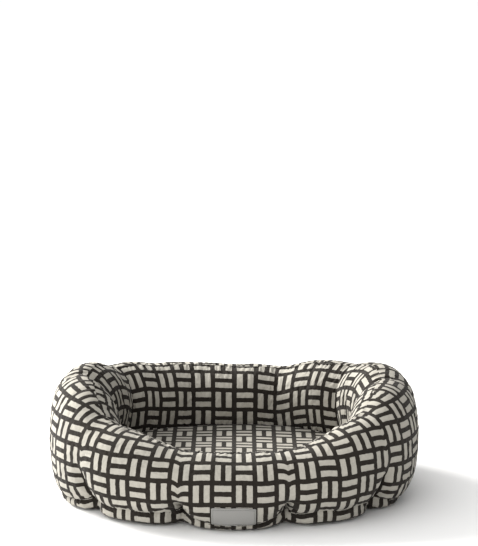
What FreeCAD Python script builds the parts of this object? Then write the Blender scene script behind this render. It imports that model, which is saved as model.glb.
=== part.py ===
"""Oval bolster pet bed: a quilted base pillow with a stuffed wall sewn round it, drawn in by ten tuft ties.

Millimetres, +Z up, origin on the floor under the middle of the bed, front (with the label) facing -Y.
Every piece follows one oval, the base seam. A place on the bed is given by s, the distance along that
seam from the middle of the front, and by (n, z): n outwards from the seam, z above the floor.
"""

import FreeCAD, Part
import math
import os

# ---- overall sizes ----
LENGTH = 500.0  # outside, left to right
WIDTH = 410.0  # outside, front to back
HEIGHT_ENDS = 167.0  # crest of the wall above the floor near the two ends
HEIGHT_FRONT = 92.0  # the front dips, so that the pet can step in
HEIGHT_BACK = 140.0
OUTLINE_POWER = 2.3  # 2 is an ellipse, more is squarer

# ---- wall and base ----
WALL_THICK = 90.0
WALL_BELLY = 14.0  # how far the wall stands out past the base seam
BELLY_SHARE = 0.44  # height of the wall's widest place, as a share of its rise
WALL_POWER = 2.15  # squareness of the wall's section above its widest place
CREST_SEAM_TURN = math.radians(101.0)  # where the two wall panels meet, past the top towards the inside
SEAM_HEIGHT = 22.0  # of the base seam at the tufts
SEAM_SAG = 4.0  # how much lower it runs between them
FRONT_SAG = 9.0  # how much lower again on the front lobe, under the label
FLOOR_HEIGHT = 48.0
FLOOR_SEAM_SET_BACK = 8.0  # from the wall's inner belly to the seam at its foot
FLOOR_ROUND = 58.0  # width of the floor's rounded border
FLOOR_RISE = 24.0  # how far in from its seam the floor would reach its full height if it rose straight
LOBE_BELLY = 2.0  # how far the base pillow stands out past its seam
LOBE_SHARE = 0.45  # height of its widest place, as a share of the seam's height
FOOT_INSET = 30.0  # from the seam in to the edge of the flat underside

# ---- tufting ----
LOBES = 10
PINCH_SEAM = 12.0  # how far each tuft pulls the base seam in
PINCH_LOBE = 12.0
PINCH_FOOT = 5.0
PINCH_BELLY = 3.0
PINCH_INNER = 8.0  # depth of the grooves in the wall's inner face
PINCH_CREST = 4.0
PINCH_FLOOR_SEAM = 6.0

# ---- cloth, thread and label ----
CLOTH = 1.0
CLEAR = 0.3  # between pieces that lie against each other
FILL_CLEAR = 0.7  # between the stuffing and its cover
FILL_CORNER = 7.0  # how far from a seam the stuffing turns away
THREAD_R = 0.6  # seam thread
TIE_R = 0.6  # tuft tie
KNOT_R = 1.5
CHAMBER_GAP = 1.5  # each chamber stops this far from the line of its ties
LABEL_LENGTH = 56.0
LABEL_WIDTH = 25.0
LABEL_THICK = 1.2
LABEL_RISE = 5.0  # along the wall, from the base seam to the label
STITCH_R = 0.35
STITCH_LENGTH = 2.6
STITCH_PITCH = 3.9
STITCH_INSET = 2.5  # from the label's edge

# ---- fineness of the surfaces ----
STATIONS_PER_LOBE = 8
THREAD_SIDES = 8  # flat sides of a thread
OUTLINE_STEPS = 3600
DENSE = 24  # points on each curve of a section before it is spaced evenly
SEAM_GAP = THREAD_R + CLEAR  # each panel's edge to the middle of the seam thread
STATIONS = LOBES * STATIONS_PER_LOBE


# ======== places on the bed ========
def outline_table():
    """Points, outward normals and distances round the base seam, starting at the middle of the front."""
    half_l, half_w = LENGTH / 2 - WALL_BELLY + PINCH_BELLY, WIDTH / 2 - WALL_BELLY
    rows, run, last = [], 0.0, None
    for i in range(OUTLINE_STEPS + 1):
        t = -math.pi / 2 + 2 * math.pi * i / OUTLINE_STEPS
        c, s = math.cos(t), math.sin(t)
        x = half_l * math.copysign(abs(c) ** (2 / OUTLINE_POWER), c)
        y = half_w * math.copysign(abs(s) ** (2 / OUTLINE_POWER), s)
        nx = math.copysign(abs(x / half_l) ** (OUTLINE_POWER - 1) / half_l, c)
        ny = math.copysign(abs(y / half_w) ** (OUTLINE_POWER - 1) / half_w, s)
        size = math.hypot(nx, ny)
        if last:
            run += math.hypot(x - last[0], y - last[1])
        last = (x, y)
        rows.append((run, x, y, nx / size, ny / size))
    return rows


OUTLINE = outline_table()
GIRTH = OUTLINE[-1][0]
LOBE_LENGTH = GIRTH / LOBES


class Station:
    """A vertical plane across the wall at distance s along the base seam."""

    def __init__(self, s):
        self.s = s
        low, high, at = 0, OUTLINE_STEPS, s % GIRTH
        while high - low > 1:
            mid = (low + high) // 2
            low, high = (mid, high) if OUTLINE[mid][0] <= at else (low, mid)
        a, b = OUTLINE[low], OUTLINE[high]
        k = (at - a[0]) / (b[0] - a[0])
        self.x, self.y, nx, ny = (a[j] + k * (b[j] - a[j]) for j in range(1, 5))
        size = math.hypot(nx, ny)
        self.nx, self.ny = nx / size, ny / size
        self.pinch = math.sin(math.pi * (s / LOBE_LENGTH)) ** 4
        sag = SEAM_SAG + (FRONT_SAG if self.y < 0 and abs(self.x) < LOBE_LENGTH / 2 else 0.0)
        self.seam_z = SEAM_HEIGHT - sag * (1 - self.pinch)
        middle = HEIGHT_FRONT if self.y < 0 else HEIGHT_BACK
        across = (self.y / (WIDTH / 2 - WALL_BELLY)) ** 2
        self.crest = HEIGHT_ENDS + (middle - HEIGHT_ENDS) * across - PINCH_CREST * self.pinch
        self.seam = -PINCH_SEAM * self.pinch
        self.outer = WALL_BELLY - PINCH_BELLY * self.pinch
        self.inner = WALL_BELLY - WALL_THICK + PINCH_INNER * self.pinch
        self.belly = self.seam_z + BELLY_SHARE * (self.crest - self.seam_z)
        self.inner_belly = FLOOR_HEIGHT + BELLY_SHARE * (self.crest - FLOOR_HEIGHT)
        self.floor_seam = WALL_BELLY - WALL_THICK + FLOOR_SEAM_SET_BACK + PINCH_FLOOR_SEAM * self.pinch

    def place(self, n, z):
        return FreeCAD.Vector(self.x + n * self.nx, self.y + n * self.ny, z)


# Tuft ties stand at s = (k + 1/2) lobes, so a lobe is centred on the front.
def tuft_distance(k):
    return (k + 0.5) * LOBE_LENGTH


# ======== curves in a section, as lists of (n, z) ========
def bend(start, control, end, count=DENSE):
    """A quadratic Bezier curve from start to end."""
    found = []
    for i in range(count + 1):
        t = i / count
        w = ((1 - t) ** 2, 2 * t * (1 - t), t * t)
        found.append(tuple(w[0] * a + w[1] * b + w[2] * c for a, b, c in zip(start, control, end)))
    return found


def joined(*runs):
    """Runs end to end, without the points that two of them share."""
    found = []
    for run in runs:
        for p in run:
            if not found or math.dist(p, found[-1]) > 1e-6:
                found.append(p)
    return found


def distances(points):
    found = [0.0]
    for a, b in zip(points, points[1:]):
        found.append(found[-1] + math.dist(a, b))
    return found


def evenly(points, count, start=0.0, stop=0.0):
    """count points at equal steps, leaving out start and stop millimetres at the two ends."""
    run = distances(points)
    found, j = [], 0
    for i in range(count):
        at = start + (run[-1] - start - stop) * i / (count - 1)
        while j < len(run) - 2 and run[j + 1] < at:
            j += 1
        k = (at - run[j]) / (run[j + 1] - run[j])
        found.append(tuple(a + k * (b - a) for a, b in zip(points[j], points[j + 1])))
    return found


def offset(points, by):
    """points moved by to the left of their direction of travel."""
    found = []
    for i, p in enumerate(points):
        a, b = points[max(i - 1, 0)], points[min(i + 1, len(points) - 1)]
        dn, dz = b[0] - a[0], b[1] - a[1]
        size = math.hypot(dn, dz)
        found.append((p[0] - by * dz / size, p[1] + by * dn / size))
    return found


def arch(st, turn_from, turn_to):
    """The wall's section above its widest place, between two turns: 0 outside, pi inside."""
    mid, half = (st.outer + st.inner) / 2, (st.outer - st.inner) / 2
    found = []
    for i in range(2 * DENSE + 1):
        t = turn_from + (turn_to - turn_from) * i / (2 * DENSE)
        c, s = math.cos(t), math.sin(t)
        n = mid + half * math.copysign(abs(c) ** (2 / WALL_POWER), c)
        belly = st.belly if c > 0 else st.inner_belly
        found.append((n, belly + (st.crest - belly) * abs(s) ** (2 / WALL_POWER)))
    return found


def outer_run(st):
    """Outside of the outer wall panel, from the base seam up to the crest seam."""
    start = (st.seam, st.seam_z + SEAM_GAP)
    control = (st.outer, start[1] + 0.05 * (st.belly - start[1]))
    run = joined(bend(start, control, (st.outer, st.belly)), arch(st, 0.0, CREST_SEAM_TURN))
    return evenly(run, 4 * DENSE, 0.0, SEAM_GAP)


def inner_run(st):
    """Outside of the inner wall panel, from the crest seam down to the floor seam."""
    end = (st.floor_seam, FLOOR_HEIGHT + 2 * SEAM_GAP)
    control = (st.inner, end[1] + 0.25 * (st.inner_belly - end[1]))
    run = joined(arch(st, CREST_SEAM_TURN, math.pi), bend((st.inner, st.inner_belly), control, end))
    return evenly(run, 4 * DENSE, SEAM_GAP, 0.0)


def floor_run(st):
    """Top of the floor panel, from beside the base seam in to the edge of its flat middle."""
    start = (st.seam - 2 * THREAD_R - CLEAR, st.seam_z - TIE_R - CLEAR)
    return bend(start, (start[0] - FLOOR_RISE, FLOOR_HEIGHT), (-FLOOR_ROUND, FLOOR_HEIGHT))


def lobe_run(st):
    """Outside of the underside panel, from the edge of its flat foot up to the base seam."""
    foot = (-FOOT_INSET - PINCH_FOOT * st.pinch, 0.0)
    out = LOBE_BELLY - PINCH_LOBE * st.pinch
    widest, seam = (out, LOBE_SHARE * st.seam_z), (st.seam, st.seam_z - SEAM_GAP)
    return joined(bend(foot, (out, 0.0), widest), bend(widest, (out, 0.9 * seam[1]), seam))


# ======== spline surfaces through points ========
def natural_poles(points):
    """Control points of the clamped cubic spline through points at equal steps of its parameter."""
    n = len(points)
    diag = [2.0] + [4.0] * (n - 2) + [2.0]
    rhs = [(points[min(i + 1, n - 1)] - points[max(i - 1, 0)]) * 3 for i in range(n)]
    for i in range(1, n):
        w = 1.0 / diag[i - 1]
        diag[i] -= w
        rhs[i] = rhs[i] - rhs[i - 1] * w
    slope = [None] * n
    slope[-1] = rhs[-1] * (1 / diag[-1])
    for i in range(n - 2, -1, -1):
        slope[i] = (rhs[i] - slope[i + 1]) * (1 / diag[i])

    def blossom(piece, places):
        p, q = points[piece], points[piece + 1]
        b = [p, p + slope[piece] * (1 / 3), q - slope[piece + 1] * (1 / 3), q]
        for place in places:
            t = place - piece
            b = [b[j] * (1 - t) + b[j + 1] * t for j in range(len(b) - 1)]
        return b[0]

    knots = [0] * 4 + list(range(1, n - 1)) + [n - 1] * 4
    return [blossom(min(knots[i + 2], n - 2), knots[i + 1 : i + 4]) for i in range(n + 2)]


def ring_poles(points):
    """Control points of the closed cubic spline through points at equal steps of its parameter."""
    n = len(points)
    zero = FreeCAD.Vector()
    # The inverse of the (1 4 1)/6 circulant falls off by 2 - sqrt(3) a step, so a short reach is exact.
    fall, reach = math.sqrt(3) - 2, 28
    found = []
    for i in range(n):
        total = zero
        for k in range(-reach, reach + 1):
            total = total + points[(i + k) % n] * (math.sqrt(3) * fall ** abs(k))
        found.append(total)
    return found


def knots_of(poles, ring, degree=3):
    if ring:
        return list(range(poles + 1)), [1] * (poles + 1)
    spans = poles - degree
    return list(range(spans + 1)), [degree + 1] + [1] * (spans - 1) + [degree + 1]


def net(rows, u_ring, v_ring):
    """Control net of the surface through rows of points; u runs over the rows, v along each."""
    v_poles = [(ring_poles if v_ring else natural_poles)(row) for row in rows]
    columns = [list(c) for c in zip(*v_poles)]
    return [list(r) for r in zip(*[(ring_poles if u_ring else natural_poles)(c) for c in columns])]


def surface(poles, u_ring, v_ring, v_degree=3):
    uk, um = knots_of(len(poles), u_ring)
    vk, vm = knots_of(len(poles[0]), v_ring, v_degree)
    made = Part.BSplineSurface()
    made.buildFromPolesMultsKnots(poles, um, vm, uk, vk, u_ring, v_ring, 3, v_degree)
    return made.toShape()


def between(line_a, line_b, ring):
    """The ruled face between two lines of control points with the same knots."""
    return surface([[a, b] for a, b in zip(line_a, line_b)], ring, False, 1)


def flat_cap(line):
    """The flat face inside a closed line of control points."""
    knots, mults = knots_of(len(line), True)
    curve = Part.BSplineCurve()
    curve.buildFromPolesMultsKnots(line, mults, knots, True, 3)
    return Part.Face(Part.Wire(curve.toShape()))


def solid(faces):
    shell = Part.Shell(faces)
    shell.sewShape(0.001)
    made = Part.Solid(shell if shell.ShapeType == "Shell" else shell.Shells[0])
    if made.Volume < 0:
        made.reverse()
    return made


def first(poles):
    return [row[0] for row in poles]


def last(poles):
    return [row[-1] for row in poles]


# ======== kinds of solid ========
def stations():
    return [Station(GIRTH * i / STATIONS) for i in range(STATIONS)]


def ring_rows(run, count, inset=0.0, start=0.0, stop=0.0):
    """Rows of points on a run of the section, at every station, moved by inset to its left."""
    rows = []
    for st in stations():
        points = evenly(offset(run(st), inset), count, start, stop)
        rows.append([st.place(n, z) for n, z in points])
    return rows


def strip(run, count):
    """A strip of cloth all the way round, with its outside on run."""
    out = net(ring_rows(run, count), True, False)
    back = net(ring_rows(run, count, CLOTH), True, False)
    sides = [surface(out, True, False), surface(back, True, False)]
    edges = [between(first(out), first(back), True), between(last(out), last(back), True)]
    return solid(sides + edges)


def tube(places, frames, radii):
    """A bar with flat sides along places; each frame is the two directions across it."""
    turns = [2 * math.pi * j / THREAD_SIDES for j in range(THREAD_SIDES)]
    rows = []
    for p, (e, f), r in zip(places, frames, radii):
        rows.append([p + e * (r * math.cos(t)) + f * (r * math.sin(t)) for t in turns])
    edges = [natural_poles(list(line)) for line in zip(*rows)]
    sides = [between(edges[j - 1], edges[j], False) for j in range(THREAD_SIDES)]
    ends = [Part.Face(Part.makePolygon(row + row[:1])) for row in (rows[0], rows[-1])]
    return solid(sides + ends)


def seam_tube(place_of, from_s, to_s, count):
    """A thread along the bed's length; place_of(station) gives its (n, z)."""
    sts = [Station(from_s + (to_s - from_s) * i / (count - 1)) for i in range(count)]
    places = [st.place(*place_of(st)) for st in sts]
    up = FreeCAD.Vector(0, 0, 1)
    frames = []
    for i in range(count):
        along = places[min(i + 1, count - 1)] - places[max(i - 1, 0)]
        across = along.cross(up).normalize()
        frames.append((across, across.cross(along).normalize()))
    return tube(places, frames, [THREAD_R] * count)


# ======== the pieces ========
def outer_wall_panel():
    return strip(outer_run, 18)


def inner_wall_panel():
    return strip(inner_run, 15)


def set_level(rows, end, z):
    for row in rows:
        row[end] = FreeCAD.Vector(row[end].x, row[end].y, z)


def dish(count, run, inset, flat_z, from_flat):
    """Faces of a ring on run closed by a flat middle; from_flat says whether run starts at the flat."""
    rows = ring_rows(run, count, inset)
    set_level(rows, 0 if from_flat else -1, flat_z)
    poles = net(rows, True, False)
    return poles, [surface(poles, True, False), flat_cap(first(poles) if from_flat else last(poles))]


def underside_panel():
    out, out_faces = dish(12, lobe_run, 0.0, 0.0, True)
    back, back_faces = dish(12, lobe_run, CLOTH, CLOTH, True)
    return solid(out_faces + back_faces + [between(last(out), last(back), True)])


def floor_panel():
    top, top_faces = dish(10, floor_run, 0.0, FLOOR_HEIGHT, False)
    back, back_faces = dish(10, floor_run, CLOTH, FLOOR_HEIGHT - CLOTH, False)
    return solid(top_faces + back_faces + [between(first(top), first(back), True)])


def rounded(line_a, line_b):
    """Two lines that nearly meet, joined by a bend that leaves each FILL_CORNER short of the corner."""
    a, b = evenly(line_a, 4 * DENSE, 0.0, FILL_CORNER), evenly(line_b, 4 * DENSE, FILL_CORNER, 0.0)
    corner = tuple((p + q) / 2 for p, q in zip(line_a[-1], line_b[0]))
    return joined(a, bend(a[-1], corner, b[0]), b)


def base_filling():
    """The pad between the underside panel and the floor panel."""
    inset = CLOTH + FILL_CLEAR
    rows = []
    for st in stations():
        section = rounded(offset(lobe_run(st), inset), offset(floor_run(st), inset))
        rows.append([st.place(n, z) for n, z in evenly(section, 26)])
    set_level(rows, 0, inset)
    set_level(rows, -1, FLOOR_HEIGHT - inset)
    poles = net(rows, True, False)
    return solid([surface(poles, True, False), flat_cap(first(poles)), flat_cap(last(poles))])


def filling_loop(st, count=48):
    """Section of a wall chamber's stuffing: inside both wall panels and above the floor panel."""
    skin = offset(joined(outer_run(st), inner_run(st)), CLOTH + FILL_CLEAR)
    top = offset(floor_run(st), -FILL_CLEAR)
    foot = [(skin[-1][0], FLOOR_HEIGHT + FILL_CLEAR)] + [p for p in reversed(top) if p[0] > skin[-1][0] + 0.1]
    half = len(skin) // 2
    ring = joined(rounded(skin[half:], foot)[:-1], foot[-1:])
    ring = rounded(ring, skin[: half + 1])
    return evenly(ring, count + 1)[:-1]


def wall_filling(k):
    """Stuffing of the chamber between tuft k - 1 and tuft k."""
    start, end = tuft_distance(k - 1) + CHAMBER_GAP, tuft_distance(k) - CHAMBER_GAP
    rows = []
    for i in range(9):
        st = Station(start + (end - start) * i / 8)
        rows.append([st.place(n, z) for n, z in filling_loop(st)])
    poles = net(rows, False, True)
    return solid([surface(poles, False, True), flat_cap(poles[0]), flat_cap(poles[-1])])


def tuft_tie(k):
    """A thread from the base seam, over the floor panel and out under the inner wall panel, with a knot
    at each end outside the cloth."""
    st = Station(tuft_distance(k))
    lift = CLEAR + TIE_R
    outside = [(st.seam + 2.8 * KNOT_R, st.seam_z - KNOT_R), (st.seam + TIE_R, st.seam_z)]
    over = [p for p in offset(floor_run(st), -lift) if p[1] > st.seam_z and p[0] > st.floor_seam + 3]
    inside = [(st.floor_seam - TIE_R, FLOOR_HEIGHT + lift)]
    inside.append((st.floor_seam - 2.8 * KNOT_R, FLOOR_HEIGHT + 1.6 * KNOT_R))
    points = evenly(joined(outside, [(st.seam - THREAD_R, st.seam_z)], over, inside), 90)
    across = st.place(1, 0) - st.place(0, 0)
    along = FreeCAD.Vector(0, 0, 1).cross(across)
    places, frames, radii = [], [], []
    run = distances(points)
    for i, (n, z) in enumerate(points):
        a, b = points[max(i - 1, 0)], points[min(i + 1, len(points) - 1)]
        direction = (across * (b[0] - a[0]) + FreeCAD.Vector(0, 0, b[1] - a[1])).normalize()
        places.append(st.place(n, z))
        frames.append((along, direction.cross(along)))
        knot = max(0.0, 1 - (min(run[i], run[-1] - run[i]) / KNOT_R - 1) ** 2)
        radii.append(TIE_R + (KNOT_R - TIE_R) * knot)
    return tube(places, frames, radii)


def seam_arcs(place_of):
    """Seam thread in one arc per lobe, each stopping short of the tuft ties."""
    short = TIE_R + 2 * CLEAR
    arcs = []
    for k in range(LOBES):
        start, end = tuft_distance(k - 1) + short, tuft_distance(k) - short
        arcs.append(seam_tube(place_of, start, end, STATIONS_PER_LOBE * 2 + 1))
    return Part.Compound(arcs)


def base_seam_thread():
    return seam_arcs(lambda st: (st.seam - THREAD_R, st.seam_z))


def floor_seam_thread():
    return seam_arcs(lambda st: (st.floor_seam + THREAD_R, FLOOR_HEIGHT + SEAM_GAP))


def label_place(s, along, lift):
    """A place on the outside of the wall: s round the bed, along the wall from the base seam, lift off it."""
    st = Station(s)
    run = outer_run(st)
    total = distances(run)[-1]
    n, z = evenly(offset(run, -lift), 2, 0.0, total - along)[1]
    return st.place(n, z)


def label():
    columns, rows = 7, 8

    def face_net(lift):
        grid = []
        for i in range(columns):
            s = LABEL_LENGTH * (i / (columns - 1) - 0.5)
            line = [LABEL_RISE + LABEL_WIDTH * j / (rows - 1) for j in range(rows)]
            grid.append([label_place(s, along, lift) for along in line])
        return net(grid, False, False)

    back, front = face_net(CLEAR), face_net(CLEAR + LABEL_THICK)
    sides = [between(edge(back), edge(front), False) for edge in (first, last)]
    ends = [between(back[i], front[i], False) for i in (0, -1)]
    return solid([surface(back, False, False), surface(front, False, False)] + sides + ends)


def label_stitching():
    """Running stitches round the label, each a short length of thread lying on it."""
    half, low = LABEL_LENGTH / 2 - STITCH_INSET, LABEL_RISE + STITCH_INSET
    high = LABEL_RISE + LABEL_WIDTH - STITCH_INSET
    corners = [(-half, low), (half, low), (half, high), (-half, high), (-half, low)]
    lift = CLEAR + LABEL_THICK + STITCH_R + CLEAR / 2
    stitches = []
    for (s0, a0), (s1, a1) in zip(corners, corners[1:]):
        side = math.dist((s0, a0), (s1, a1))
        count = round(side / STITCH_PITCH)
        for i in range(count):
            mid = (i + 0.5) / count
            half_stitch = STITCH_LENGTH / 2 / side
            ends = []
            for at in (mid - half_stitch, mid + half_stitch):
                ends.append(label_place(s0 + at * (s1 - s0), a0 + at * (a1 - a0), lift))
            stitches.append(Part.makeCylinder(STITCH_R, STITCH_LENGTH, ends[0], ends[1] - ends[0]))
    return Part.Compound(stitches)


def crest_seam_thread():
    """The thread that closes the two wall panels along the crest, begun and ended at the back."""

    def place(st):
        n, z = arch(st, CREST_SEAM_TURN, CREST_SEAM_TURN)[0]
        return n, z - CLOTH / 2

    reach = GIRTH / 2 - CLEAR
    return seam_tube(place, -reach, reach, STATIONS + 1)


def pieces():
    made = {
        "underside_panel": underside_panel(),
        "floor_panel": floor_panel(),
        "outer_wall_panel": outer_wall_panel(),
        "inner_wall_panel": inner_wall_panel(),
        "base_filling": base_filling(),
        "crest_seam_thread": crest_seam_thread(),
        "base_seam_thread": base_seam_thread(),
        "floor_seam_thread": floor_seam_thread(),
        "tuft_ties": Part.Compound([tuft_tie(k) for k in range(LOBES)]),
        "label": label(),
        "label_stitching": label_stitching(),
    }
    for k in range(LOBES):
        made[f"wall_filling_{k + 1:02d}"] = wall_filling(k)
    return made


os.makedirs("parts", exist_ok=True)
for name, shape in pieces().items():
    box = shape.BoundBox
    size = f"{box.XLength:.1f} x {box.YLength:.1f} x {box.ZLength:.1f}"
    print(f"{name}: {len(shape.Solids)} solids, valid {shape.isValid()}, {shape.Volume / 1000:.2f} ml, {size}")
    shape.exportStep(f"parts/{name}.step")
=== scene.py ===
"""Oval cushion bed: canvas covers blown up over their stuffing by cloth simulation, seams, ties, label."""

import math

import bpy
import numpy as np
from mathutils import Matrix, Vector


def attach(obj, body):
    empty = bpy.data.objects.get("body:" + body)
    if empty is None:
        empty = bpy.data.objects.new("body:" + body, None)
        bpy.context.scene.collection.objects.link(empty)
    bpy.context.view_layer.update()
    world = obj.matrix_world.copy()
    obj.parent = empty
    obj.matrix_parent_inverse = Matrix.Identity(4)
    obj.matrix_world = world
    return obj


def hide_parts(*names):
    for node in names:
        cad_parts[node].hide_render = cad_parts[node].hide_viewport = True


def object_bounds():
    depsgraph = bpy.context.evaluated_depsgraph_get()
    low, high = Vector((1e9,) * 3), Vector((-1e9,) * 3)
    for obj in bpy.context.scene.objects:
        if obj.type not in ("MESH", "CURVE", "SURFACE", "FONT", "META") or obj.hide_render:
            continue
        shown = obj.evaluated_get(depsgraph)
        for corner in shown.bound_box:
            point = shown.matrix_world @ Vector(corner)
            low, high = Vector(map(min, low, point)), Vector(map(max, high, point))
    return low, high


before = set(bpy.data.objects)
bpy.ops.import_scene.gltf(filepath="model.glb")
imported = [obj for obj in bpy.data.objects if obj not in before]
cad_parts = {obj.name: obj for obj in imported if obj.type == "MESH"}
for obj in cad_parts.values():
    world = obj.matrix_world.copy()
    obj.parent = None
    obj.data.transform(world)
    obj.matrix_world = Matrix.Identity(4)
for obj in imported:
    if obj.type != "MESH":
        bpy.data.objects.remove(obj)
CAD_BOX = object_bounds()
MM = 0.001
RNG = np.random.default_rng(20)

# ======== camera ========
PITCH = math.radians(10.6)  # of the camera's axis, below level
RISE = math.radians(15.5)  # of the camera above the bed's middle
REACH = 2.485  # from the camera to the bed's middle
lo, hi = CAD_BOX
middle = [(a + b) / 2 for a, b in zip(lo, hi)]
cam_data = bpy.data.cameras.new("camera")
cam_data.lens = 119.5
cam_data.sensor_width = 36
cam_data.clip_end = 50
cam = bpy.data.objects.new("camera", cam_data)
cam.location = (middle[0] + 0.0068, middle[1] - REACH * math.cos(RISE), middle[2] + REACH * math.sin(RISE))
cam.rotation_euler = (math.pi / 2 - PITCH, 0, 0)
bpy.context.scene.collection.objects.link(cam)
bpy.context.scene.camera = cam

# ======== the oval and its lobes, in millimetres ========
HALF_L, HALF_W, POWER = 239.0, 191.0, 2.3
LOBES = 10
PER_LOBE = 48
NU = LOBES * PER_LOBE

t = np.linspace(-math.pi / 2, 1.5 * math.pi, 7201)
c, s = np.cos(t), np.sin(t)
ox = HALF_L * np.sign(c) * np.abs(c) ** (2 / POWER)
oy = HALF_W * np.sign(s) * np.abs(s) ** (2 / POWER)
gx = np.sign(c) * np.abs(ox / HALF_L) ** (POWER - 1) / HALF_L
gy = np.sign(s) * np.abs(oy / HALF_W) ** (POWER - 1) / HALF_W
size = np.hypot(gx, gy)
run = np.concatenate([[0], np.cumsum(np.hypot(np.diff(ox), np.diff(oy)))])
GIRTH = run[-1]
LOBE = GIRTH / LOBES


def at(values, where):
    return np.interp(np.mod(where, GIRTH), run, values)


S = GIRTH * np.arange(NU) / NU
X0, Y0 = at(ox, S), at(oy, S)
NX, NY = at(gx / size, S), at(gy / size, S)
NX, NY = NX / np.hypot(NX, NY), NY / np.hypot(NX, NY)


def wrap(d):
    return (d + GIRTH / 2) % GIRTH - GIRTH / 2


TUFTS = (np.arange(LOBES) + 0.5) * LOBE  # tuft k stands between lobes k and k + 1; lobe 0 is the front one
BROAD = np.sin(math.pi * S / LOBE) ** 4
SHARP = sum(np.exp(-((wrap(S - q) / 11.0) ** 2)) for q in TUFTS)
PINCH = 0.6 * BROAD + 0.4 * np.minimum(SHARP, 1)
CUSP = sum(np.exp(-np.abs(wrap(S - q)) / 8.0) for q in TUFTS)
NEAR = sum(np.exp(-((wrap(S - q) / 15.0) ** 2)) for q in TUFTS)


def smooth(x):
    x = np.clip(x, 0, 1)
    return x * x * (3 - 2 * x)


def ring_noise(seed, waves, low=1):
    """A smooth random number round the ring, about -1 to 1."""
    rng = np.random.default_rng(seed)
    found = np.zeros(NU)
    for k in range(low, waves + 1):
        found += rng.normal() * np.cos(2 * math.pi * k * S / GIRTH + rng.uniform(0, 6.3))
    return found / math.sqrt(0.5 * (waves - low + 1))


ACROSS = (Y0 / HALF_W) ** 2
MIDDLE = np.where(Y0 < 0, 91.0, 140.0)
CREST = 167.0 + (MIDDLE - 167.0) * ACROSS + 1.5 * ring_noise(3, 14, 5) - 4 * BROAD
FRONT = np.exp(-((wrap(S) / 42.0) ** 2))  # the front lobe, whose wall drops straight behind the label
RIGHT = np.clip(X0 / HALF_L, 0, 1) ** 4  # the right-hand end, which tucks in more
WHICH = np.round(S / LOBE).astype(int) % LOBES  # the lobe each column is on
SAG = np.choose(WHICH, [13.5, 3.0, 11.0, 6.0, 4.0, 5.0, 4.0, 6.0, 11.0, 3.0])
SEAM_Z = 22.0 - SAG * (1 - PINCH) + 0.7 * ring_noise(4, 30, 8)
SEAM_N = -2.0 + 9.0 * FRONT - 8.0 * BROAD - 17.0 * CUSP - 5.0 * RIGHT
OUTER = 14.0 - 3.0 * BROAD + 0.8 * ring_noise(5, 16, 4)
INNER = -76.0 + 9.0 * BROAD + 1.2 * ring_noise(6, 22, 6)
FLOOR_SEAM = -68.0 + 8.0 * PINCH
FLOOR_Z = 49.5
OUT_BELLY = SEAM_Z + 0.44 * (CREST - SEAM_Z)
IN_BELLY = FLOOR_Z + 0.44 * (CREST - FLOOR_Z)
CREST_TURN = math.radians(101)


def spread(n, z, rows):
    """Dense curves (points x columns) resampled to even rows along each column."""
    step = np.hypot(np.diff(n, axis=0), np.diff(z, axis=0))
    dist = np.vstack([np.zeros(n.shape[1]), np.cumsum(step, axis=0)])
    out_n, out_z = np.empty((rows, n.shape[1])), np.empty((rows, n.shape[1]))
    for i in range(n.shape[1]):
        want = np.linspace(0, dist[-1, i], rows)
        out_n[:, i] = np.interp(want, dist[:, i], n[:, i])
        out_z[:, i] = np.interp(want, dist[:, i], z[:, i])
    return out_n, out_z


def bend(p, q, r, count=30):
    t = np.linspace(0, 1, count)[:, None]
    return [(1 - t) ** 2 * a + 2 * t * (1 - t) * b + t * t * c for a, b, c in zip(p, q, r)]


def arch(turns, power=2.15):
    t = turns[:, None]
    c, s = np.cos(t), np.sin(t)
    mid, half = (OUTER + INNER) / 2, (OUTER - INNER) / 2
    belly = np.where(c > 0, OUT_BELLY, IN_BELLY)
    n = mid + half * np.sign(c) * np.abs(c) ** (2 / power)
    return n, belly + (CREST - belly) * np.abs(s) ** (2 / power)


def stack(*parts):
    return [np.vstack([p[k] if i == 0 else p[k][1:] for i, p in enumerate(parts)]) for k in (0, 1)]


ONE = np.ones(NU)
foot = (-30 - 4 * BROAD - 9 * NEAR, 0 * ONE)
lobe_n = -1 + 5 * FRONT - 6 * BROAD - 13 * NEAR - 8.0 * RIGHT
lobe = stack(
    bend(foot, (lobe_n, 0 * ONE), (lobe_n, 0.42 * SEAM_Z)),
    bend((lobe_n, 0.42 * SEAM_Z), (lobe_n, (0.92 - 0.3 * NEAR) * SEAM_Z), (SEAM_N, SEAM_Z)),
)
outer = stack(
    bend((SEAM_N, SEAM_Z), (OUTER, SEAM_Z + (0.05 + 0.42 * NEAR) * (OUT_BELLY - SEAM_Z)), (OUTER, OUT_BELLY)),
    arch(np.linspace(0, CREST_TURN, 60)),
)
inner = stack(
    arch(np.linspace(CREST_TURN, math.pi, 50)),
    bend((INNER, IN_BELLY), (INNER, FLOOR_Z + 0.25 * (IN_BELLY - FLOOR_Z)), (FLOOR_SEAM, FLOOR_Z * ONE)),
)
ROWS = {"lobe": 14, "outer": 44, "inner": 32}
pieces = [spread(*outline, ROWS[name]) for name, outline in (("lobe", lobe), ("outer", outer), ("inner", inner))]
N = np.vstack([pieces[0][0], pieces[1][0][1:], pieces[2][0][1:]])
Z = np.vstack([pieces[0][1], pieces[1][1][1:], pieces[2][1][1:]])
J_SEAM = ROWS["lobe"] - 1
J_CREST = J_SEAM + ROWS["outer"] - 1
J_FLOOR = J_CREST + ROWS["inner"] - 1
NV = J_FLOOR + 1
J = np.arange(NV)[:, None]

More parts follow.
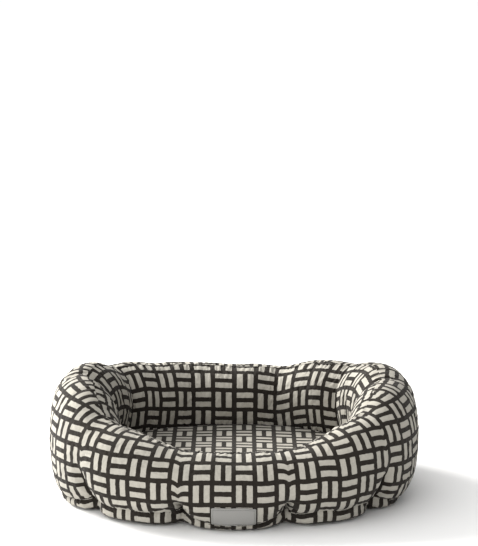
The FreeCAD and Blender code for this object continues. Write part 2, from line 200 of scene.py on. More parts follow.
# folds that climb the wall from the tufts: (tuft, how deep, how far up in mm, lean away from the front)
FOLDS = [(0, 10, 28, 7), (9, 10, 28, -7), (1, 15, 66, 12), (8, 15, 66, -12), (2, 8, 52, 3), (7, 8, 52, -3)]
FOLDS += [(3, 9, 55, -6), (6, 9, 55, 6), (4, 6, 38, 2), (5, 6, 38, -2)]
fold = np.zeros((NV, NU))
for k, depth, reach, lean in FOLDS:
    up = Z - SEAM_Z
    share = np.clip(up / reach, 0, 1)
    side = wrap(S - TUFTS[k] - lean * share)
    width = 3.2 + 5.5 * share
    fold += depth * (1 - smooth(up / reach)) * np.exp(-((side / width) ** 2)) * (J > J_SEAM) * (J < J_CREST)
GOAL_N = N - fold


def to_xyz(n, z):
    return np.stack([X0 + n * NX, Y0 + n * NY, z], axis=-1) * MM


def grid_faces(rows, columns, ring=True):
    j, i = np.meshgrid(np.arange(rows - 1), np.arange(columns if ring else columns - 1), indexing="ij")
    k = (i + 1) % columns
    low, high = j * columns, (j + 1) * columns
    return np.stack([low + i, low + k, high + k, high + i], -1).reshape(-1, 4)


def mesh_object(name, points, faces, uvs=None):
    mesh = bpy.data.meshes.new(name)
    mesh.from_pydata(np.asarray(points).reshape(-1, 3).tolist(), [], [list(map(int, f)) for f in faces])
    if uvs is not None:
        layer = mesh.uv_layers.new(name="cloth")
        layer.data.foreach_set("uv", np.asarray(uvs, np.float32).ravel())
    for poly in mesh.polygons:
        poly.use_smooth = True
    obj = bpy.data.objects.new(name, mesh)
    bpy.context.scene.collection.objects.link(obj)
    return obj


def simulate(start, goal, rest, faces, pins, frames, pressure):
    """Blows cloth up from start; rest gives its own size, pins (0 to 1) hold it at its start. goal is not used."""
    obj = mesh_object("cloth_sim", start, faces)
    obj.shape_key_add(name="Basis")
    key = obj.shape_key_add(name="rest")
    key.data.foreach_set("co", np.asarray(rest, np.float32).ravel())
    key.value = 0
    group = obj.vertex_groups.new(name="pin")
    for i, w in enumerate(np.asarray(pins).ravel()):
        group.add([i], float(w), "REPLACE")
    mod = obj.modifiers.new("cloth", "CLOTH")
    st = mod.settings
    st.quality = 7
    st.mass = 0.25
    st.air_damping = 1.5
    st.tension_stiffness = st.compression_stiffness = 30
    st.shear_stiffness = 12
    st.bending_stiffness = 0.35
    st.tension_damping = st.compression_damping = 6
    st.bending_damping = 0.6
    st.use_pressure = True
    st.uniform_pressure_force = pressure
    st.vertex_group_mass = "pin"
    st.pin_stiffness = 1.0
    st.rest_shape_key = key
    st.effector_weights.gravity = 0
    mod.collision_settings.use_collision = False
    mod.collision_settings.use_self_collision = False
    mod.point_cache.frame_start, mod.point_cache.frame_end = 1, frames
    scene = bpy.context.scene
    for f in range(1, frames + 1):
        scene.frame_set(f)
    seen = obj.evaluated_get(bpy.context.evaluated_depsgraph_get())
    out = np.empty(len(seen.data.vertices) * 3, np.float32)
    seen.data.vertices.foreach_get("co", out)
    bpy.data.objects.remove(obj)
    scene.frame_set(1)
    return out.reshape(np.asarray(start).shape).astype(float)


goal = to_xyz(GOAL_N, Z)
lean_in = np.where((J > J_SEAM) & (J < J_CREST), -3.0, np.where(J > J_CREST, 3.0, -1.5))
jitter = RNG.normal(0, 0.35, (NV, NU))
start = to_xyz(GOAL_N + lean_in * 0.8 + jitter, Z)

# how much longer than its place each row of cloth was cut, so that it gathers at the seams
v = np.arange(NV)
EXCESS_ROWS = [0, J_SEAM, J_SEAM + 12, J_CREST - 14, J_CREST, J_CREST + 12, J_FLOOR]
EXCESS = np.interp(v, EXCESS_ROWS, [0.05, 0.08, 0.045, 0.04, 0.11, 0.08, 0.13])
cut = 1 + EXCESS[:, None]
rest = np.stack([(X0 + N * NX) * cut, (Y0 + N * NY) * cut, Z * 1.05], axis=-1) * MM

PINS = np.full((NV, NU), 0.012)
PINS[J_SEAM] = 1.0
PINS[0] = 1.0
PINS[J_FLOOR] = 1.0
PINS[J_CREST] = 0.10
PINS = np.maximum(PINS, np.clip(fold / 40, 0, 0.2))

skin = simulate(start, goal, rest, grid_faces(NV, NU), PINS, 26, 9.0)
far = np.linalg.norm(skin - goal, axis=-1, keepdims=True)
skin = goal + (skin - goal) * np.minimum(1, 0.016 / np.maximum(far, 1e-9))
skin[..., 2] = np.maximum(skin[..., 2], 0)


# ======== finer cloth from the simulated grid ========
def midpoints(a, axis, ring):
    """Catmull-Rom points halfway between a's along axis."""
    if ring:
        p, q, r = (np.roll(a, k, axis) for k in (1, -1, -2))
        return (9 * (a + q) - p - r) / 16
    a = np.moveaxis(a, axis, 0)
    ext = np.concatenate([2 * a[:1] - a[1:2], a, 2 * a[-1:] - a[-2:-1]])
    mid = (9 * (ext[1:-2] + ext[2:-1]) - ext[:-3] - ext[3:]) / 16
    return np.moveaxis(mid, 0, axis)


def refine(a):
    """Doubles a (rows, ring columns, ...) grid both ways."""
    wide = np.empty((a.shape[0], a.shape[1] * 2) + a.shape[2:])
    wide[:, ::2] = a
    wide[:, 1::2] = midpoints(a, 1, True)
    tall = np.empty((a.shape[0] * 2 - 1,) + wide.shape[1:])
    tall[::2] = wide
    tall[1::2] = midpoints(wide, 0, False)
    return tall


def normals(a):
    du = np.roll(a, -1, 1) - np.roll(a, 1, 1)
    dv = np.gradient(a, axis=0)
    n = np.cross(du, dv)
    return n / np.maximum(np.linalg.norm(n, axis=-1, keepdims=True), 1e-12)


def arc(a):
    """Distance along each column from its first row, in mm."""
    step = np.linalg.norm(np.diff(a, axis=0), axis=-1) / MM
    return np.vstack([np.zeros(a.shape[1]), np.cumsum(step, axis=0)])


def fine_noise(shape, seed, u_mm, v_mm, du, dv):
    """Smooth noise on a ring grid: u_mm and v_mm are its grain, du and dv the grid's steps, in mm."""
    rng = np.random.default_rng(seed)
    raw = rng.normal(size=shape)
    fu = np.fft.fftfreq(shape[1], du)[None, :]
    fv = np.fft.fftfreq(shape[0], dv)[:, None]
    keep = np.exp(-((fu * u_mm) ** 2) - (fv * v_mm) ** 2) * (np.abs(fu) * u_mm > 0.25)
    found = np.fft.ifft2(np.fft.fft2(raw) * keep).real
    return found / found.std()


def tuft_rays(shape_s, up, rise):
    """Wrinkles that fan out from the tufts; up is mm from the seam row."""
    found = np.zeros_like(up)
    for k, q in enumerate(TUFTS):
        rng = np.random.default_rng(40 + k)
        side = wrap(shape_s - q)
        near = np.hypot(side, up)
        turn = np.arctan2(up, side)
        wave = sum(rng.uniform(0.5, 1) * np.cos(m * turn + rng.uniform(0, 6.3)) for m in (7, 11, 15))
        found += rise * wave * np.exp(-near / 19.0) * smooth(near / 3.0)
    return found


grids = {
    "lobe": refine(skin[: J_SEAM + 1]),
    "outer": refine(skin[J_SEAM : J_CREST + 1]),
    "inner": refine(skin[J_CREST:]),
}


def even_out(a, half, width):
    """Blurs values along the ring; half and width are in columns."""
    kernel = np.exp(-((np.arange(-half, half + 1) / width) ** 2))
    wide = np.concatenate([a[..., -half:], a, a[..., :half]], axis=-1)
    return np.apply_along_axis(np.convolve, -1, wide, kernel / kernel.sum(), "valid")


def print_arc(a, plain_a):
    """Distance along each column of the unfolded cloth, evened out round the ring and stretched to a's
    mean length, so that the print's rows stay straight."""
    found = arc(plain_a)
    found *= arc(a)[-1].mean() / found[-1].mean()
    return even_out(found, 14, 6.0)


UNFOLDED = to_xyz(N, Z)
ARCS = {
    "outer": print_arc(grids["outer"], refine(UNFOLDED[J_SEAM : J_CREST + 1])),
    "inner": print_arc(grids["inner"], refine(UNFOLDED[J_CREST:])),
}
FINE = 2 * NU  # columns of the refined grids
FINE_S = GIRTH * np.arange(FINE) / FINE


def pucker(name, ends, tall, seed):
    """Small gathers along the seams at a grid's ends (first, last), as heights in mm."""
    a = grids[name]
    from_first, total = arc(a), arc(a)[-1]
    from_last = total - from_first
    step = GIRTH / FINE
    grain = fine_noise(a.shape[:2], seed, 5.0, 26.0, step, 2.0)
    bump = np.zeros(a.shape[:2])
    for rise, dist in zip(ends, (from_first, from_last)):
        if rise:
            bump += rise * grain * np.exp(-dist / tall) * smooth(dist / 2.5)
    return bump


below_seam = arc(grids["lobe"])[-1] - arc(grids["lobe"])
bumps = {
    "lobe": pucker("lobe", (0, 0.5), 9, 11) + tuft_rays(FINE_S, below_seam, 0.9),
    "outer": pucker("outer", (0.45, 0.8), 9, 12) + tuft_rays(FINE_S, arc(grids["outer"]), 1.5),
    "inner": pucker("inner", (0.8, 0.8), 11, 13),
}
for name, bump in bumps.items():
    grids[name] = grids[name] + normals(grids[name]) * bump[..., None] * MM
grids["lobe"][..., 2] = np.maximum(grids["lobe"][..., 2], 0)
grids["lobe"][-1] = grids["outer"][0]
grids["inner"][0] = grids["outer"][-1]

# ======== materials ========


class Nodes:
    """Short names for building a material's nodes."""

    def __init__(self, name):
        self.mat = bpy.data.materials.new(name)
        self.mat.use_nodes = True
        self.tree = self.mat.node_tree
        self.shader = self.tree.nodes["Principled BSDF"]

    def put(self, socket, value):
        if isinstance(value, bpy.types.NodeSocket):
            self.tree.links.new(value, socket)
        else:
            socket.default_value = value

    def node(self, kind, out=0, inputs=(), **settings):
        made = self.tree.nodes.new(kind)
        for key, value in settings.items():
            setattr(made, key, value)
        for key, value in dict(inputs).items():
            self.put(made.inputs[key], value)
        return made.outputs[out]

    def math(self, op, *values):
        made = self.tree.nodes.new("ShaderNodeMath")
        made.operation = op
        for socket, value in zip(made.inputs, values):
            self.put(socket, value)
        return made.outputs[0]

    def add(self, *v):
        return self.math("ADD", *v)

    def sub(self, *v):
        return self.math("SUBTRACT", *v)

    def mul(self, *v):
        return self.math("MULTIPLY", *v)

    def mix(self, factor, a, b):
        made = self.tree.nodes.new("ShaderNodeMix")
        made.data_type = "RGBA"
        self.put(made.inputs[0], factor)
        self.put(made.inputs[6], a)
        self.put(made.inputs[7], b)
        return made.outputs[2]

    def noise(self, vector, scale, detail=2.0, rough=0.5):
        inputs = {"Vector": vector, "Scale": scale, "Detail": detail, "Roughness": rough}
        return self.node("ShaderNodeTexNoise", 0, inputs)


BLOCK = 28.0  # side of one block of the basketweave print, mm
PRINT_WIDE = 2 * BLOCK  # its repeat: a lying block and a standing one
WEAVE = 0.9  # from thread to thread, mm
BAR_LONG, BAR_THICK, BAR_APART = 11.0, 3.8, 7.0  # half sizes of a block's two bars, and each one's set-off


def canvas(name, shift_u, shift_v):
    """Cotton canvas printed with a plain basketweave pattern."""
    k = Nodes(name)
    uv = k.node("ShaderNodeUVMap", uv_map="cloth")
    parts = k.tree.nodes.new("ShaderNodeSeparateXYZ")
    k.put(parts.inputs[0], uv)
    warp = k.noise(uv, 90.0, 2)
    u = k.add(k.mul(parts.outputs[0], 1000), shift_u)
    v = k.add(k.mul(parts.outputs[1], 1000), shift_v)
    edge = k.mul(k.sub(k.noise(uv, 700.0, 2), 0.5), 0.5)
    wander = k.mul(k.sub(warp, 0.5), 0.9)

    def bar(px, py, half_x, half_y, round_by=0.9):
        qx = k.sub(k.math("ABSOLUTE", px), half_x - round_by)
        qy = k.sub(k.math("ABSOLUTE", py), half_y - round_by)
        out_x, out_y = k.math("MAXIMUM", qx, 0.0), k.math("MAXIMUM", qy, 0.0)
        outside = k.math("SQRT", k.add(k.mul(out_x, out_x), k.mul(out_y, out_y)))
        return k.sub(k.add(outside, k.math("MINIMUM", k.math("MAXIMUM", qx, qy), 0.0)), round_by)

    # two lying bars and two standing ones by turns, along each row and from row to row
    row = k.math("DIVIDE", v, BLOCK)
    row_number = k.math("ROUND", row)
    y = k.add(k.mul(k.sub(row, row_number), BLOCK), wander)
    turn = k.mul(k.math("FLOORED_MODULO", row_number, 2.0), BLOCK)
    blocks = []
    for slide in (0.0, BLOCK):
        a = k.math("DIVIDE", k.sub(k.add(u, turn), slide), PRINT_WIDE)
        x = k.add(k.mul(k.sub(a, k.math("ROUND", a)), PRINT_WIDE), wander)
        if slide:
            blocks.append(bar(k.sub(k.math("ABSOLUTE", x), BAR_APART), y, BAR_THICK, BAR_LONG))
        else:
            blocks.append(bar(x, k.sub(k.math("ABSOLUTE", y), BAR_APART), BAR_LONG, BAR_THICK))
    blocks = k.math("MINIMUM", *blocks)
    ink_range = {0: k.add(blocks, edge), 1: 0.22, 2: -0.22}
    ink = k.node("ShaderNodeMapRange", 0, ink_range, interpolation_type="SMOOTHSTEP")
    # threads of a plain weave, with slubs
    warp_thread = k.math("SINE", k.mul(u, 2 * math.pi / WEAVE))
    weft_thread = k.math("SINE", k.mul(v, 2 * math.pi / WEAVE))
    along_u = k.node("ShaderNodeVectorMath", 0, {0: uv, 1: (1300.0, 160.0, 1.0)}, operation="MULTIPLY")
    slub_u = k.noise(along_u, 1.0, 1)
    along_v = k.node("ShaderNodeVectorMath", 0, {0: uv, 1: (160.0, 1300.0, 1.0)}, operation="MULTIPLY")
    slub_v = k.noise(along_v, 1.0, 1)
    slubs = k.sub(k.add(slub_u, slub_v), 1.0)
    patchy = k.sub(k.noise(uv, 22.0, 4), 0.5)
    tone = k.add(k.mul(slubs, 0.9), k.mul(patchy, 0.5))
    dark = k.mix(k.add(0.5, k.mul(tone, 1.1)), (0.010, 0.0078, 0.006, 1), (0.027, 0.0222, 0.0176, 1))
    cream = k.mix(k.add(0.5, k.mul(tone, 0.9)), (0.345, 0.326, 0.284, 1), (0.475, 0.452, 0.40, 1))
    k.put(k.shader.inputs["Base Color"], k.mix(ink, dark, cream))
    k.put(k.shader.inputs["Roughness"], k.add(0.86, k.mul(slubs, 0.12)))
    k.shader.inputs["Specular IOR Level"].default_value = 0.15
    k.shader.inputs["Sheen Weight"].default_value = 0.06
    k.shader.inputs["Sheen Roughness"].default_value = 0.5
    weave = k.mul(k.add(k.mul(warp_thread, weft_thread), k.mul(slubs, 2.2)), 0.5)
    bump = k.node("ShaderNodeBump", 0, {"Height": weave, "Distance": 0.00018, "Strength": 0.7})
    k.put(k.shader.inputs["Normal"], bump)
    return k.mat


def plain(name, colours, rough, scale, bump_by=0.0003, sheen=0.0, spec=0.3):
    """Fibres, thread or leather: two tones mixed by noise, with a bump."""
    k = Nodes(name)
    where = k.node("ShaderNodeTexCoord", 3)
    tone = k.noise(where, scale, 5, 0.6)
    k.put(k.shader.inputs["Base Color"], k.mix(tone, colours[0], colours[1]))
    k.put(k.shader.inputs["Roughness"], k.add(rough - 0.08, k.mul(tone, 0.16)))
    k.shader.inputs["Specular IOR Level"].default_value = spec
    k.shader.inputs["Sheen Weight"].default_value = sheen
    bump = k.node("ShaderNodeBump", 0, {"Height": tone, "Distance": bump_by, "Strength": 0.8})
    k.put(k.shader.inputs["Normal"], bump)
    return k.mat


def clad(obj, mat, slot, *nodes):
    obj.data.materials.clear()
    obj.data.materials.append(mat)
    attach(obj, "root")
    if nodes:
        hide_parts(*nodes)


def face_uvs(u, v, rows, columns):
    """Loop UVs of a ring grid."""
    left, step = u
    j, i = np.meshgrid(np.arange(rows - 1), np.arange(columns), indexing="ij")
    j, i = j.ravel(), i.ravel()
    corners = [(j, 0), (j, 1), (j + 1, 1), (j + 1, 0)]
    uv = np.stack([np.stack([left[a, i] + b * step, v[a, (i + b) % columns]], -1) for a, b in corners], 1)
    return uv * MM


def cover(name, grid, u, v, closed=False):
    """A ring of cloth; closed adds a face inside its first row."""
    rows, columns = grid.shape[:2]
    faces, uvs = grid_faces(rows, columns).tolist(), face_uvs(u, v, rows, columns).reshape(-1, 2)
    if closed:
        faces.append(list(range(columns))[::-1])
        uvs = np.concatenate([uvs, np.stack([u[0][0], v[0]], -1)[::-1] * MM])
    return mesh_object(name, grid, faces, uvs)


def columns_u(rows, girth, columns=FINE):
    """u at both sides of each column of faces, 0 at the front's middle, with the print's join at the back."""
    one = girth * ((np.arange(columns) + columns // 2) % columns - columns // 2) / columns
    return np.tile(one, (rows, 1)), girth / columns


# the print runs level round the wall, from a line LEVEL mm above the floor
outer_grid = grids["outer"]
height, print_height = arc(outer_grid), ARCS["outer"]
LEVEL = 55.0
level_arc = np.empty(FINE)
for i in range(FINE):
    col = outer_grid[:, i, 2] / MM
    top = int(np.argmax(col > LEVEL))
    level_arc[i] = print_height[top, i]
level_arc = even_out(level_arc, 40, 18.0)
OUTER_REPEATS, INNER_REPEATS = 26, 20  # of the print, round the wall
WALL_SHIFT, FLOOR_SHIFT = (14.0, 4.0), (5.0, 3.0)  # of the print along u and v, mm
wall_u = columns_u(len(outer_grid), OUTER_REPEATS * PRINT_WIDE)
wall = cover("outer_wall_cover", outer_grid, wall_u, print_height - level_arc)
clad(wall, canvas("outer_canvas", *WALL_SHIFT), "printed_canvas", "outer_wall_panel")

inner_grid = grids["inner"]
inner_u = columns_u(len(inner_grid), INNER_REPEATS * PRINT_WIDE)
inner = cover("inner_wall_cover", inner_grid, inner_u, -ARCS["inner"])
clad(inner, canvas("inner_canvas", *WALL_SHIFT), "printed_canvas", "inner_wall_panel")

lobe_grid = grids["lobe"]
steps = [0.985, 0.9, 0.7, 0.45, 0.2, 0.02]
flat = [lobe_grid[0] * [k, k, 1] for k in steps]
under_grid = np.concatenate([np.array(flat)[::-1], lobe_grid])
under_v = arc(under_grid)
under_u = columns_u(len(under_grid), OUTER_REPEATS * PRINT_WIDE)
under = cover("underside_cover", under_grid, under_u, under_v - under_v[-1], closed=True)
clad(under, canvas("base_canvas", *WALL_SHIFT), "printed_canvas", "underside_panel")

# ======== the floor of the bed ========
WELL_ROWS = 44
fnx, fny = at(gx / size, FINE_S), at(gy / size, FINE_S)
under_wall = np.linspace(0, 1, 12)[:, None, None]
seam_line, floor_line = lobe_grid[-1], inner_grid[-1]
hidden = seam_line * (1 - under_wall) + floor_line * under_wall
rise = floor_line[:, 2] - seam_line[:, 2]
hidden[..., 2] = seam_line[:, 2] + rise * np.sin(under_wall[..., 0] * math.pi / 2)
hidden[..., 2] -= 0.0016
inward = np.array([1 - (k / WELL_ROWS) for k in range(1, WELL_ROWS)] + [0.012])[:, None]
well = np.stack([floor_line[:, 0] * inward, floor_line[:, 1] * inward, np.zeros((WELL_ROWS, FINE))], -1)
reach = np.linalg.norm(well - floor_line, axis=-1) / MM
flat_shape = FLOOR_Z - 1.6 + 5.0 * (1 - np.exp(-reach / 26.0)) + 2.0 * (1 - np.exp(-reach / 90.0))
dips = np.zeros((WELL_ROWS, FINE))
for q in TUFTS:
    j = int(round(q / GIRTH * FINE)) % FINE
    near = np.linalg.norm(well[..., :2] - floor_line[j, :2], axis=-1) / MM
    dips += 4.0 * np.exp(-near / 22.0)
rng = np.random.default_rng(77)
soft = np.zeros((WELL_ROWS, FINE))
for _ in range(26):
    kx, ky = rng.normal(0, 34, 2)
    soft += rng.normal() * np.cos(kx * well[..., 0] + ky * well[..., 1] + rng.uniform(0, 6.3))
soft *= 0.28 * smooth(reach / 30)
creases = fine_noise((WELL_ROWS, FINE), 78, 9.0, 60.0, GIRTH / FINE * 0.7, 4.0)
creases *= 0.55 * np.exp(-reach / 16.0)
well[..., 2] = (flat_shape - dips + soft + creases) * MM
floor_grid = np.concatenate([hidden, well])
rows = len(floor_grid)
floor_faces = grid_faces(rows, FINE)[:, ::-1].tolist() + [list(range((rows - 1) * FINE, rows * FINE))[::-1]]
floor_obj = mesh_object("floor_cover", floor_grid, floor_faces)
layer = floor_obj.data.uv_layers.new(name="cloth")
loops = np.empty(len(floor_obj.data.loops), np.int32)
floor_obj.data.loops.foreach_get("vertex_index", loops)
flat_xy = floor_grid.reshape(-1, 3)[loops][:, :2] + [0.009, 0.004]
layer.data.foreach_set("uv", flat_xy.astype(np.float32).ravel())
clad(floor_obj, canvas("floor_canvas", *FLOOR_SHIFT), "printed_canvas", "floor_panel")

# ======== stuffing ========
fibre = plain("fibrefill", ((0.80, 0.79, 0.76, 1), (0.93, 0.92, 0.90, 1)), 0.95, 260.0, 0.0012, sheen=0.3, spec=0.1)
inside = normals(skin)
if np.mean(inside[J_SEAM + 10, :, :2] * np.stack([NX, NY], -1)) < 0:
    inside = -inside
core = skin - inside * 3.2 * MM


def closed_loft(name, sections):
    """A closed body from a list of closed sections, with a fan at each end."""
    rows, columns = len(sections), len(sections[0])
    ends = [np.mean(sections[0], 0), np.mean(sections[-1], 0)]
    points = np.concatenate([np.reshape(sections, (-1, 3)), ends])
    faces = grid_faces(rows, columns).tolist()
    a, b = rows * columns, rows * columns + 1
    for i in range(columns):
        j = (i + 1) % columns
        faces.append((a, j, i))
        faces.append((b, (rows - 1) * columns + i, (rows - 1) * columns + j))
    return mesh_object(name, points, faces)


def settle(found, seed):
    rng = np.random.default_rng(seed)
    return found + rng.normal(0, 0.00025, np.shape(found))


hidden_rows = hidden[:, ::2]
for k in range(LOBES):
    first, last = int((k - 0.5) * PER_LOBE) + 1, int((k + 0.5) * PER_LOBE) - 1
    sections = []
    for i in range(first, last + 1, 2):
        skin_part = core[J_SEAM + 2 : J_FLOOR - 1 : 2, i % NU]
        low = hidden_rows[2:-1, i % NU][::-1] + [0, 0, 0.0022]
        sections.append(np.concatenate([skin_part, low]))
    pad = closed_loft(f"wall_stuffing_{k + 1:02d}", settle(sections, 200 + k))
    clad(pad, fibre, "fiberfill", f"wall_filling_{k + 1:02d}")

lobe_core = core[: J_SEAM - 1 : 2]
top_core = floor_grid[2:, ::2] - [0, 0, 0.0022]
bottom = np.array([core[0] * [k, k, 1] for k in (0.02, 0.5, 0.97)])
bottom[..., 2] = 0.0022
lobe_core[..., 2] = np.maximum(lobe_core[..., 2], 0.0022)
base_rows = settle(np.concatenate([bottom, lobe_core, top_core[::2]]), 300)
base_faces = grid_faces(len(base_rows), NU).tolist() + [list(range(NU))[::-1]]
base_faces.append(list(range((len(base_rows) - 1) * NU, len(base_rows) * NU)))
base_pad = mesh_object("base_stuffing", base_rows, base_faces)
clad(base_pad, fibre, "fiberfill", "base_filling")

# ======== seams and ties ========
thread_tones = (0.030, 0.026, 0.022, 1), (0.075, 0.066, 0.056, 1)
thread_mat = plain("seam_thread", thread_tones, 0.7, 900.0, 0.0002, sheen=0.1)
STITCH = 0.0042, 0.0034, 0.00045  # from stitch to stitch, length, radius, metres


def tubes(name, paths, radii, sides=6):
    """Round bars along several paths, in one mesh, closed at both ends."""
    points, faces, start = [], [], 0
    for path, radius in zip(paths, radii):
        path = np.asarray(path)
        along = np.gradient(path, axis=0)
        along /= np.maximum(np.linalg.norm(along, axis=1, keepdims=True), 1e-9)
        side = np.cross(along, [0.03, 0.02, 1.0])
        side /= np.linalg.norm(side, axis=1, keepdims=True)
        up = np.cross(side, along)
        radius = np.broadcast_to(radius, len(path))
        for i in range(len(path)):
            for j in range(sides):
                a = 2 * math.pi * j / sides
                points.append(path[i] + radius[i] * (math.cos(a) * side[i] + math.sin(a) * up[i]))
        for i in range(len(path) - 1):
            for j in range(sides):
                k = (j + 1) % sides
                a, b = start + i * sides, start + (i + 1) * sides
                faces.append((a + j, a + k, b + k, b + j))
        faces.append(tuple(start + j for j in range(sides))[::-1])
        faces.append(tuple(start + (len(path) - 1) * sides + j for j in range(sides)))
        start = len(points)
    return mesh_object(name, points, faces)


def stitches(line, pitch, length, radius, sink):
    """Short stitches along a ring of points, sunk by the vector sink at each."""
    step = np.linalg.norm(np.diff(np.vstack([line, line[:1]]), axis=0), axis=1)
    dist = np.concatenate([[0], np.cumsum(step)])
    loop = np.vstack([line + sink, line[:1] + sink[:1]])
    found = []
    for k in range(int(dist[-1] / pitch)):
        where = k * pitch + np.linspace(0, length, 5)
        path = np.stack([np.interp(where, dist, loop[:, m]) for m in range(3)], 1)
        path[[0, -1]] += sink[int(where[0] / dist[-1] * len(sink)) % len(sink)] * 1.2
        found.append(path)
    return found, [radius] * len(found)


sink_crest = -normals(np.concatenate([outer_grid[-3:], inner_grid[1:3]]))[2] * 0.0009
crest_thread = tubes("crest_stitches", *stitches(outer_grid[-1], *STITCH, sink_crest))
clad(crest_thread, thread_mat, "thread", "crest_seam_thread")
sink_base = np.stack([-fnx, -fny, 0 * fnx], -1) * 0.0011
base_thread = tubes("base_seam_stitches", *stitches(lobe_grid[-1], *STITCH, sink_base))
clad(base_thread, thread_mat, "thread", "base_seam_thread")
sink_floor = -sink_base - [0, 0, 0.0008]
floor_thread = tubes("floor_seam_stitches", *stitches(inner_grid[-1], *STITCH, sink_floor))
clad(floor_thread, thread_mat, "thread", "floor_seam_thread")

TIE_R, KNOT_R = 0.0006, 0.0014  # metres
tie_paths, tie_radii = [], []
for q in TUFTS:
    j = int(round(q / GIRTH * FINE)) % FINE
    outward = np.array([fnx[j], fny[j], 0])
    over = hidden[:, j] + [0, 0, 0.0013]
    outer_end, inner_end = seam_line[j] + outward * 0.0035, floor_line[j] - outward * 0.005
    outer_part = [outer_end, outer_end - outward * 0.0009, seam_line[j] + outward * 0.0015]
    inner_part = [floor_line[j] - outward * 0.002, inner_end + outward * 0.0012, inner_end]
    path = np.vstack(outer_part + [over[1:-1]] + inner_part)
    radius = np.full(len(path), TIE_R)
    radius[[1, -2]] = KNOT_R
    tie_paths.append(path)
    tie_radii.append(radius)
ties = tubes("tuft_knots_and_ties", tie_paths, tie_radii, 8)
clad(ties, thread_mat, "thread", "tuft_ties")

# ======== the label ========
LABEL_W, LABEL_H, LABEL_T, CORNER = 56.0, 25.0, 1.2, 1.6


def wall_at(along_u, up):
    """A place on the outer wall: u along the front in mm from the middle, up from the seam row in mm."""
    col = (along_u / GIRTH * FINE) % FINE
    i, f = int(col) % FINE, col - int(col)
    found = []
    for c in (i, (i + 1) % FINE):
        found.append([np.interp(up, height[:, c], outer_grid[:, c, m]) for m in range(3)])
    return np.array(found[0]) * (1 - f) + np.array(found[1]) * f


cols, rows_l = 57, 26
low_edge = 1.5  # of the label above the base seam, along the wall, mm
back = np.empty((rows_l, cols, 3))
for j in range(rows_l):
    for i in range(cols):
        w = (i / (cols - 1) - 0.5) * LABEL_W
        h = j / (rows_l - 1) * LABEL_H
        back[j, i] = wall_at(w, low_edge + h)
# leather is stiff: smooth it and stand it clear of the cloth
chord = back.copy()
for _ in range(60):
    chord[1:-1, 1:-1] = (chord[:-2, 1:-1] + chord[2:, 1:-1] + chord[1:-1, :-2] + chord[1:-1, 2:]) / 4
clear = np.max(chord[..., 1] - back[..., 1])
chord[..., 1] -= clear * 0.6 + 0.0006
w = (np.arange(cols) / (cols - 1) - 0.5)[None, :] * LABEL_W
h = (np.arange(rows_l) / (rows_l - 1) - 0.5)[:, None] * LABEL_H
past_corner = np.abs(h) - LABEL_H / 2 + CORNER
round_corner = CORNER - np.sqrt(np.maximum(0, CORNER**2 - past_corner**2))
inset_w = np.where(np.abs(h) > LABEL_H / 2 - CORNER, round_corner, 0)
chord[..., 0] *= 1 - inset_w / (LABEL_W / 2)
down = np.gradient(chord, axis=0)
across = np.gradient(chord, axis=1)
face = np.cross(across, down)
face /= np.linalg.norm(face, axis=-1, keepdims=True)
edge = np.minimum(LABEL_W / 2 - np.abs(w), LABEL_H / 2 - np.abs(h))
round_off = LABEL_T * (1 - np.sqrt(np.clip(edge / 0.9, 0, 1)) * 0.45 - 0.55)
press = 0.22 * np.exp(-(((edge - 2.2) / 0.7) ** 2))
front = chord + face * (LABEL_T - round_off - press)[..., None] * MM
count = rows_l * cols
faces = grid_faces(rows_l, cols, False).tolist()
faces += [[a + count for a in f][::-1] for f in faces]
rim = [(0, i) for i in range(cols)] + [(j, cols - 1) for j in range(1, rows_l)]
rim += [(rows_l - 1, i) for i in range(cols - 2, -1, -1)] + [(j, 0) for j in range(rows_l - 2, 0, -1)]
rim = [j * cols + i for j, i in rim]
for a, b in zip(rim, rim[1:] + rim[:1]):
    faces.append([a, b, b + count, a + count][::-1])
label = mesh_object("label_patch", np.concatenate([front.reshape(-1, 3), chord.reshape(-1, 3)]), faces)
leather_tones = (0.232, 0.228, 0.217, 1), (0.285, 0.280, 0.268, 1)
leather = plain("label_leather", leather_tones, 0.55, 1500.0, 0.0002, spec=0.4)
clad(label, leather, "label_leather", "label")

label_thread = plain("label_thread", ((0.12, 0.12, 0.11, 1), (0.17, 0.17, 0.16, 1)), 0.6, 1500.0, 0.0002)
SEW_W, SEW_H = 25.8, 10.3  # half sizes of the line of stitches, mm
corners = [(-SEW_W, -SEW_H), (SEW_W, -SEW_H), (SEW_W, SEW_H), (-SEW_W, SEW_H), (-SEW_W, -SEW_H)]
sew = []
for (w0, h0), (w1, h1) in zip(corners, corners[1:]):
    side = math.hypot(w1 - w0, h1 - h0)
    count_s = round(side / 2.1)
    for k in range(count_s):
        mid = np.linspace((k + 0.14) / count_s, (k + 0.86) / count_s, 5)
        path = []
        for m, lift in zip(mid, (-0.12, 0.12, 0.2, 0.12, -0.12)):
            fi = (w0 + (w1 - w0) * m + LABEL_W / 2) / LABEL_W * (cols - 1)
            fj = (h0 + (h1 - h0) * m + LABEL_H / 2) / LABEL_H * (rows_l - 1)
            i, j = min(int(fi), cols - 2), min(int(fj), rows_l - 2)
            a, b = fi - i, fj - j
            where = []
            for g in (front, face):
                low = (1 - a) * g[j, i] + a * g[j, i + 1]
                high = (1 - a) * g[j + 1, i] + a * g[j + 1, i + 1]
                where.append((1 - b) * low + b * high)
            path.append(where[0] + where[1] * lift * MM)
        sew.append(path)
label_sewing = tubes("label_stitches", sew, [0.00026] * len(sew))
clad(label_sewing, label_thread, "label_thread", "label_stitching")

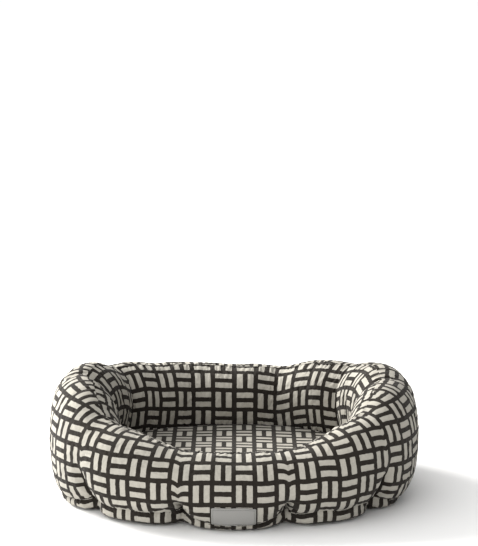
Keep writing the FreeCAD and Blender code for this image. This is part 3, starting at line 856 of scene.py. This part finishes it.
# ======== floor, backdrop and light ========
GROUND = 40.0  # half its side, metres
ground_corners = [(x * GROUND, y * GROUND, -0.0005) for x, y in ((-1, -1), (1, -1), (1, 1), (-1, 1))]
ground = mesh_object("ground", ground_corners, [(0, 1, 2, 3)])
paper = plain("ground_paper", ((0.91, 0.91, 0.91, 1), (0.925, 0.925, 0.925, 1)), 0.9, 3.0, 0.00001)
ground.data.materials.append(paper)

world = bpy.data.worlds.new("world") if not bpy.data.worlds else bpy.data.worlds[0]
bpy.context.scene.world = world
world.use_nodes = True
sky = world.node_tree
ramp = sky.nodes.new("ShaderNodeValToRGB")
left_tone, right_tone = ramp.color_ramp.elements
left_tone.color, right_tone.color = (2.0, 1.99, 1.96, 1), (0.14, 0.143, 0.15, 1)
left_tone.position, right_tone.position = 0.1, 0.95
where = sky.nodes.new("ShaderNodeTexCoord")
axes = sky.nodes.new("ShaderNodeSeparateXYZ")
shift = sky.nodes.new("ShaderNodeMapRange")
shift.inputs[1].default_value, shift.inputs[2].default_value = -1, 1
sky.links.new(where.outputs["Generated"], axes.inputs[0])
sky.links.new(axes.outputs[0], shift.inputs[0])
sky.links.new(shift.outputs[0], ramp.inputs[0])
sky.links.new(ramp.outputs[0], sky.nodes["Background"].inputs[0])
sky.nodes["Background"].inputs[1].default_value = 1.0


def area_light(name, place, aim, size, power, colour=(1, 1, 1)):
    data = bpy.data.lights.new(name, "AREA")
    data.shape, data.size, data.energy, data.color = "DISK", size, power, colour
    obj = bpy.data.objects.new(name, data)
    obj.location = place
    heading = np.array(aim) - np.array(place)
    tilt = math.atan2(math.hypot(heading[0], heading[1]), -heading[2])
    obj.rotation_euler = (tilt, 0, math.atan2(heading[1], heading[0]) - math.pi / 2)
    bpy.context.scene.collection.objects.link(obj)


area_light("key", (-2.1, 1.35, 1.6), (0, 0, 0.05), 1.3, 165, (1.0, 0.985, 0.955))
area_light("fill", (-0.6, -2.6, 1.6), (0, 0, 0.05), 1.8, 2, (1, 0.99, 0.97))
bpy.context.scene.view_settings.view_transform = "Standard"
